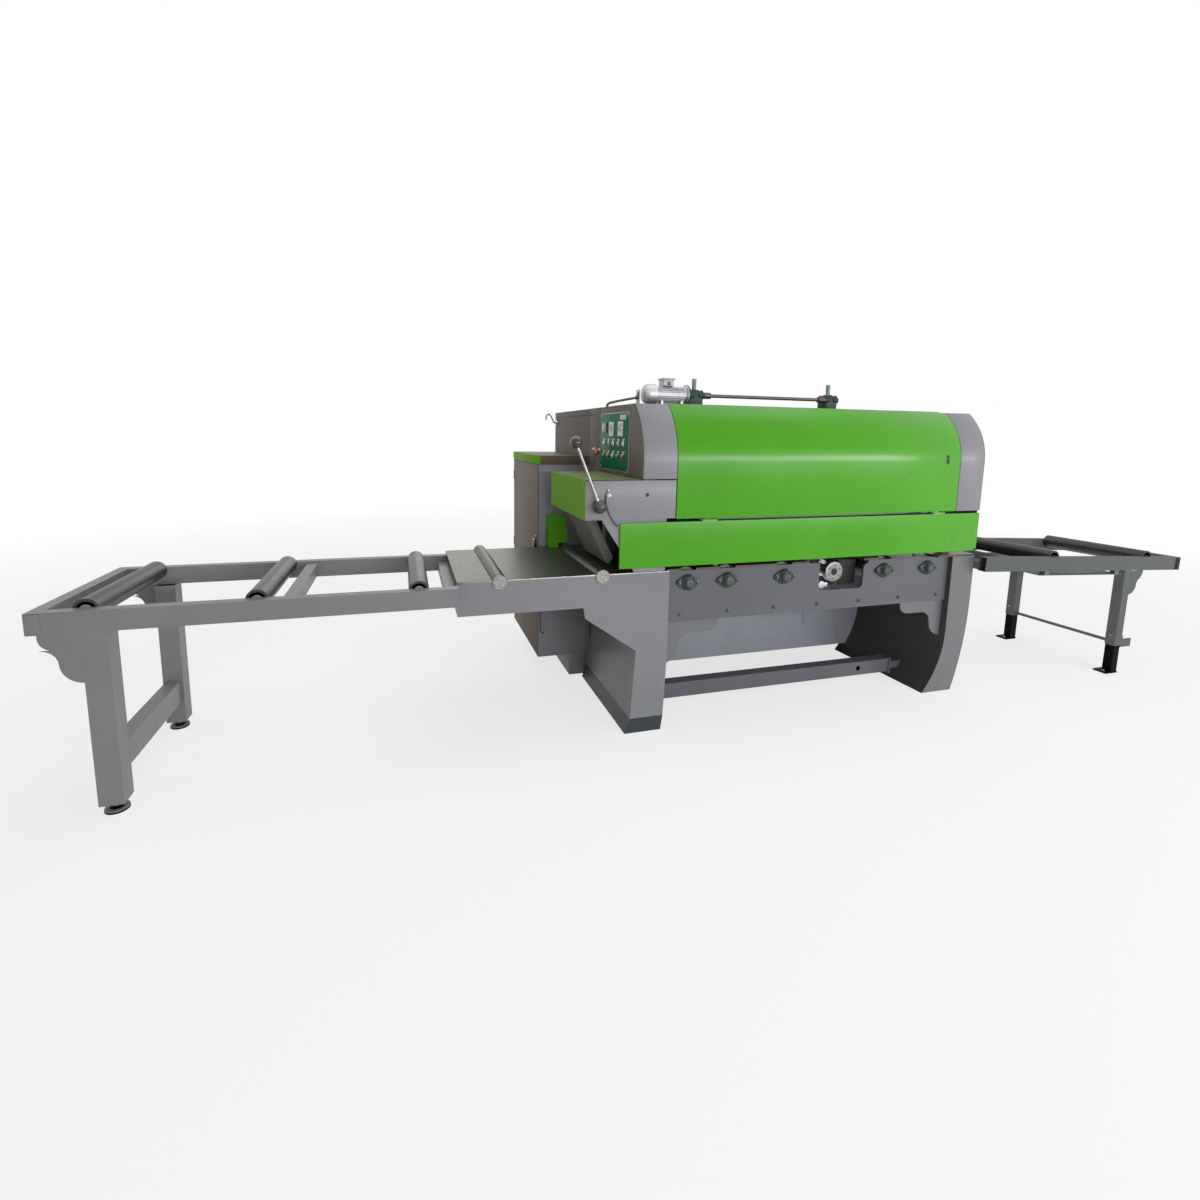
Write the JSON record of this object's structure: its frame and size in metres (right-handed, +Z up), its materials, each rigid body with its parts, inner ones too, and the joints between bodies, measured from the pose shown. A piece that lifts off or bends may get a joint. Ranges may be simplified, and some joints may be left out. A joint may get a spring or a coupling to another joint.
{
  "type": "multi rip saw",
  "caption": "Multi-blade rip saw with hinged hood, guard, driven feed rollers, rising pressure beam, electrical cabinet and roller tables at both ends.",
  "frame": {"origin": "centre of the bounding box on the floor", "axes": "+X along the feed towards the outfeed end, +Y from the operator's side to the back, +Z up"},
  "size_m": [6.3592, 1.8749, 1.842],
  "materials": {
    "lime_paint": "gloss",
    "emerald_paint": "gloss",
    "grey_paint": "satin",
    "bed_paint": "satin",
    "gear_paint": "satin",
    "motor_paint": "satin",
    "ground_steel": "satin",
    "bright_steel": "polished",
    "aluminium": "satin",
    "cast_iron": "matte",
    "black_plastic": "matte",
    "red_plastic": "gloss",
    "black_paint": "satin",
    "belt_rubber": "matte",
    "button_plastic": "gloss"
  },
  "bodies": {
    "base": {"infeed_pedestal": "grey_paint", "outfeed_pedestal": "grey_paint", "front_bearing_plate": "bed_paint", "rear_bearing_plate": "bed_paint", "corner_brackets": "bed_paint", "tie_beam": "bed_paint", "infeed_table": "ground_steel", "bed_plates": "ground_steel", "end_cowls": "grey_paint", "upper_frame": "bed_paint", "rear_housing": "grey_paint", "control_panel": "emerald_paint", "infeed_head": "grey_paint", "infeed_covers": "lime_paint", "electrical_cabinet": "grey_paint", "lift_motor": "aluminium", "lift_jacks": "gear_paint", "flange_bearings": "cast_iron", "fasteners": "bright_steel", "main_motor": "motor_paint", "drive_belts": "belt_rubber", "feed_drive": "gear_paint", "arbor_housing": "cast_iron", "infeed_roller_table": "grey_paint", "outfeed_roller_table": "grey_paint", "material_tray": "bed_paint"},
    "hood": {"hood": "lime_paint"},
    "front_guard": {"front_guard": "lime_paint"},
    "ball_lever": {"ball_lever": "bright_steel"},
    "kickback_fingers": {"kickback_fingers": "cast_iron"},
    "press_beam": {"press_beam": "bed_paint"},
    "pressure_roller_1": {"pressure_roller_1": "ground_steel"},
    "pressure_roller_2": {"pressure_roller_2": "ground_steel"},
    "pressure_roller_3": {"pressure_roller_3": "ground_steel"},
    "pressure_roller_4": {"pressure_roller_4": "ground_steel"},
    "feed_roller_1": {"feed_roller_1": "ground_steel"},
    "feed_roller_2": {"feed_roller_2": "ground_steel"},
    "feed_roller_3": {"feed_roller_3": "ground_steel"},
    "feed_roller_4": {"feed_roller_4": "ground_steel"},
    "feed_roller_5": {"feed_roller_5": "ground_steel"},
    "saw_arbor": {"saw_arbor": "bright_steel", "saw_blades": "bright_steel"},
    "motor_pulley": {"motor_pulley": "cast_iron"},
    "table_roller_1": {"table_roller_1": "ground_steel"},
    "table_roller_2": {"table_roller_2": "ground_steel"},
    "table_roller_3": {"table_roller_3": "ground_steel"},
    "infeed_roller_1": {"infeed_roller_1": "ground_steel"},
    "infeed_roller_2": {"infeed_roller_2": "ground_steel"},
    "outfeed_roller_1": {"outfeed_roller_1": "ground_steel"},
    "outfeed_roller_2": {"outfeed_roller_2": "ground_steel"},
    "push_button_1": {"push_button_1": "button_plastic"},
    "push_button_2": {"push_button_2": "button_plastic"},
    "push_button_3": {"push_button_3": "button_plastic"},
    "push_button_4": {"push_button_4": "button_plastic"},
    "push_button_5": {"push_button_5": "button_plastic"},
    "emergency_stop": {"emergency_stop": "red_plastic"},
    "cabinet_door": {"cabinet_door": "grey_paint"},
    "lift_shaft": {"lift_shaft": "bright_steel"},
    "front_leg_foot": {"front_leg_foot": "black_paint"},
    "rear_leg_foot": {"rear_leg_foot": "black_paint"}
  },
  "joints": [
    {"name": "hood_hinge", "type": "hinge", "parent": "base", "child": "hood", "pos_m": [0.31436, -0.68936, 1.683], "axis": [-1, 0, 0], "range_deg": [0, 75]},
    {"name": "guard_hinge", "type": "hinge", "parent": "base", "child": "front_guard", "pos_m": [0.25636, -0.8685, 1.118], "axis": [-1, 0, 0], "range_deg": [0, 95]},
    {"name": "lever_turn", "type": "hinge", "parent": "base", "child": "ball_lever", "pos_m": [-0.96064, -0.5425, 1.197], "axis": [0, -1, 0], "range_deg": [0, 40]},
    {"name": "finger_swing", "type": "hinge", "parent": "ball_lever", "child": "kickback_fingers", "pos_m": [-0.96064, -0.4445, 1.197], "axis": [0, -1, 0], "range_deg": [0, 40]},
    {"name": "press_lift", "type": "slide", "parent": "base", "child": "press_beam", "axis": [0, 0, 1], "range_m": [-0.104, 0]},
    {"name": "pressure_spin_1", "type": "hinge", "parent": "press_beam", "child": "pressure_roller_1", "pos_m": [-0.19764, -0.405, 1.03], "axis": [0, 1, 0], "continuous": true},
    {"name": "pressure_spin_2", "type": "hinge", "parent": "press_beam", "child": "pressure_roller_2", "pos_m": [0.15036, -0.405, 1.03], "axis": [0, 1, 0], "continuous": true},
    {"name": "pressure_spin_3", "type": "hinge", "parent": "press_beam", "child": "pressure_roller_3", "pos_m": [0.81836, -0.405, 1.03], "axis": [0, 1, 0], "continuous": true},
    {"name": "pressure_spin_4", "type": "hinge", "parent": "press_beam", "child": "pressure_roller_4", "pos_m": [1.13236, -0.405, 1.03], "axis": [0, 1, 0], "continuous": true},
    {"name": "feed_spin_1", "type": "hinge", "parent": "base", "child": "feed_roller_1", "pos_m": [-0.42864, -0.405, 0.7765], "axis": [0, 1, 0], "continuous": true},
    {"name": "feed_spin_2", "type": "hinge", "parent": "base", "child": "feed_roller_2", "pos_m": [-0.19764, -0.405, 0.7765], "axis": [0, 1, 0], "continuous": true},
    {"name": "feed_spin_3", "type": "hinge", "parent": "base", "child": "feed_roller_3", "pos_m": [0.15036, -0.405, 0.7765], "axis": [0, 1, 0], "continuous": true},
    {"name": "feed_spin_4", "type": "hinge", "parent": "base", "child": "feed_roller_4", "pos_m": [0.81836, -0.405, 0.7765], "axis": [0, 1, 0], "continuous": true},
    {"name": "feed_spin_5", "type": "hinge", "parent": "base", "child": "feed_roller_5", "pos_m": [1.13236, -0.405, 0.7765], "axis": [0, 1, 0], "continuous": true},
    {"name": "arbor_spin", "type": "hinge", "parent": "base", "child": "saw_arbor", "pos_m": [0.49436, -0.405, 0.778], "axis": [0, 1, 0], "continuous": true},
    {"name": "motor_spin", "type": "hinge", "parent": "base", "child": "motor_pulley", "pos_m": [0.49436, 0.1925, 0.33], "axis": [0, 1, 0], "continuous": true},
    {"name": "table_spin_1", "type": "hinge", "parent": "base", "child": "table_roller_1", "pos_m": [-3.00564, -0.4675, 0.8295], "axis": [0, 1, 0], "continuous": true},
    {"name": "table_spin_2", "type": "hinge", "parent": "base", "child": "table_roller_2", "pos_m": [-2.41564, -0.4675, 0.8295], "axis": [0, 1, 0], "continuous": true},
    {"name": "table_spin_3", "type": "hinge", "parent": "base", "child": "table_roller_3", "pos_m": [-1.77064, -0.4675, 0.8295], "axis": [0, 1, 0], "continuous": true},
    {"name": "infeed_spin_1", "type": "hinge", "parent": "base", "child": "infeed_roller_1", "pos_m": [-1.40764, -0.405, 0.839], "axis": [0, 1, 0], "continuous": true},
    {"name": "infeed_spin_2", "type": "hinge", "parent": "base", "child": "infeed_roller_2", "pos_m": [-0.90264, -0.405, 0.839], "axis": [0, 1, 0], "continuous": true},
    {"name": "outfeed_spin_1", "type": "hinge", "parent": "base", "child": "outfeed_roller_1", "pos_m": [2.93437, -0.4925, 0.76509], "axis": [0, 1, 0], "continuous": true},
    {"name": "outfeed_spin_2", "type": "hinge", "parent": "base", "child": "outfeed_roller_2", "pos_m": [2.08018, -0.4925, 0.80239], "axis": [0, 1, 0], "continuous": true},
    {"name": "button_press_1", "type": "slide", "parent": "base", "child": "push_button_1", "axis": [1, 0, 0], "range_m": [0, 0.004], "stiffness_N_per_m": 600, "springref_m": -0.002},
    {"name": "button_press_2", "type": "slide", "parent": "base", "child": "push_button_2", "axis": [1, 0, 0], "range_m": [0, 0.004], "stiffness_N_per_m": 600, "springref_m": -0.002},
    {"name": "button_press_3", "type": "slide", "parent": "base", "child": "push_button_3", "axis": [1, 0, 0], "range_m": [0, 0.004], "stiffness_N_per_m": 600, "springref_m": -0.002},
    {"name": "button_press_4", "type": "slide", "parent": "base", "child": "push_button_4", "axis": [1, 0, 0], "range_m": [0, 0.004], "stiffness_N_per_m": 600, "springref_m": -0.002},
    {"name": "button_press_5", "type": "slide", "parent": "base", "child": "push_button_5", "axis": [1, 0, 0], "range_m": [0, 0.004], "stiffness_N_per_m": 600, "springref_m": -0.002},
    {"name": "stop_press", "type": "slide", "parent": "base", "child": "emergency_stop", "axis": [1, 0, 0], "range_m": [0, 0.005], "stiffness_N_per_m": 900, "springref_m": -0.003},
    {"name": "door_hinge", "type": "hinge", "parent": "base", "child": "cabinet_door", "pos_m": [-1.05154, 0.8372, 0.74], "axis": [0, 0, -1], "range_deg": [0, 110]},
    {"name": "lift_spin", "type": "hinge", "parent": "base", "child": "lift_shaft", "pos_m": [0.18836, -0.431, 1.75], "axis": [1, 0, 0], "continuous": true},
    {"name": "front_leg_slide", "type": "slide", "parent": "base", "child": "front_leg_foot", "axis": [0, 0, -1], "range_m": [-0.12, 0.22]},
    {"name": "rear_leg_slide", "type": "slide", "parent": "base", "child": "rear_leg_foot", "axis": [0, 0, -1], "range_m": [-0.12, 0.22]}
  ],
  "couplings": [
    {"joint": "feed_spin_2", "follows": "feed_spin_1", "ratio": 1},
    {"joint": "feed_spin_3", "follows": "feed_spin_1", "ratio": 1},
    {"joint": "feed_spin_4", "follows": "feed_spin_1", "ratio": 1},
    {"joint": "feed_spin_5", "follows": "feed_spin_1", "ratio": 1},
    {"joint": "motor_spin", "follows": "arbor_spin", "ratio": 0.81818},
    {"joint": "lift_spin", "follows": "press_lift", "rad_per_m": 628.32}
  ]
}
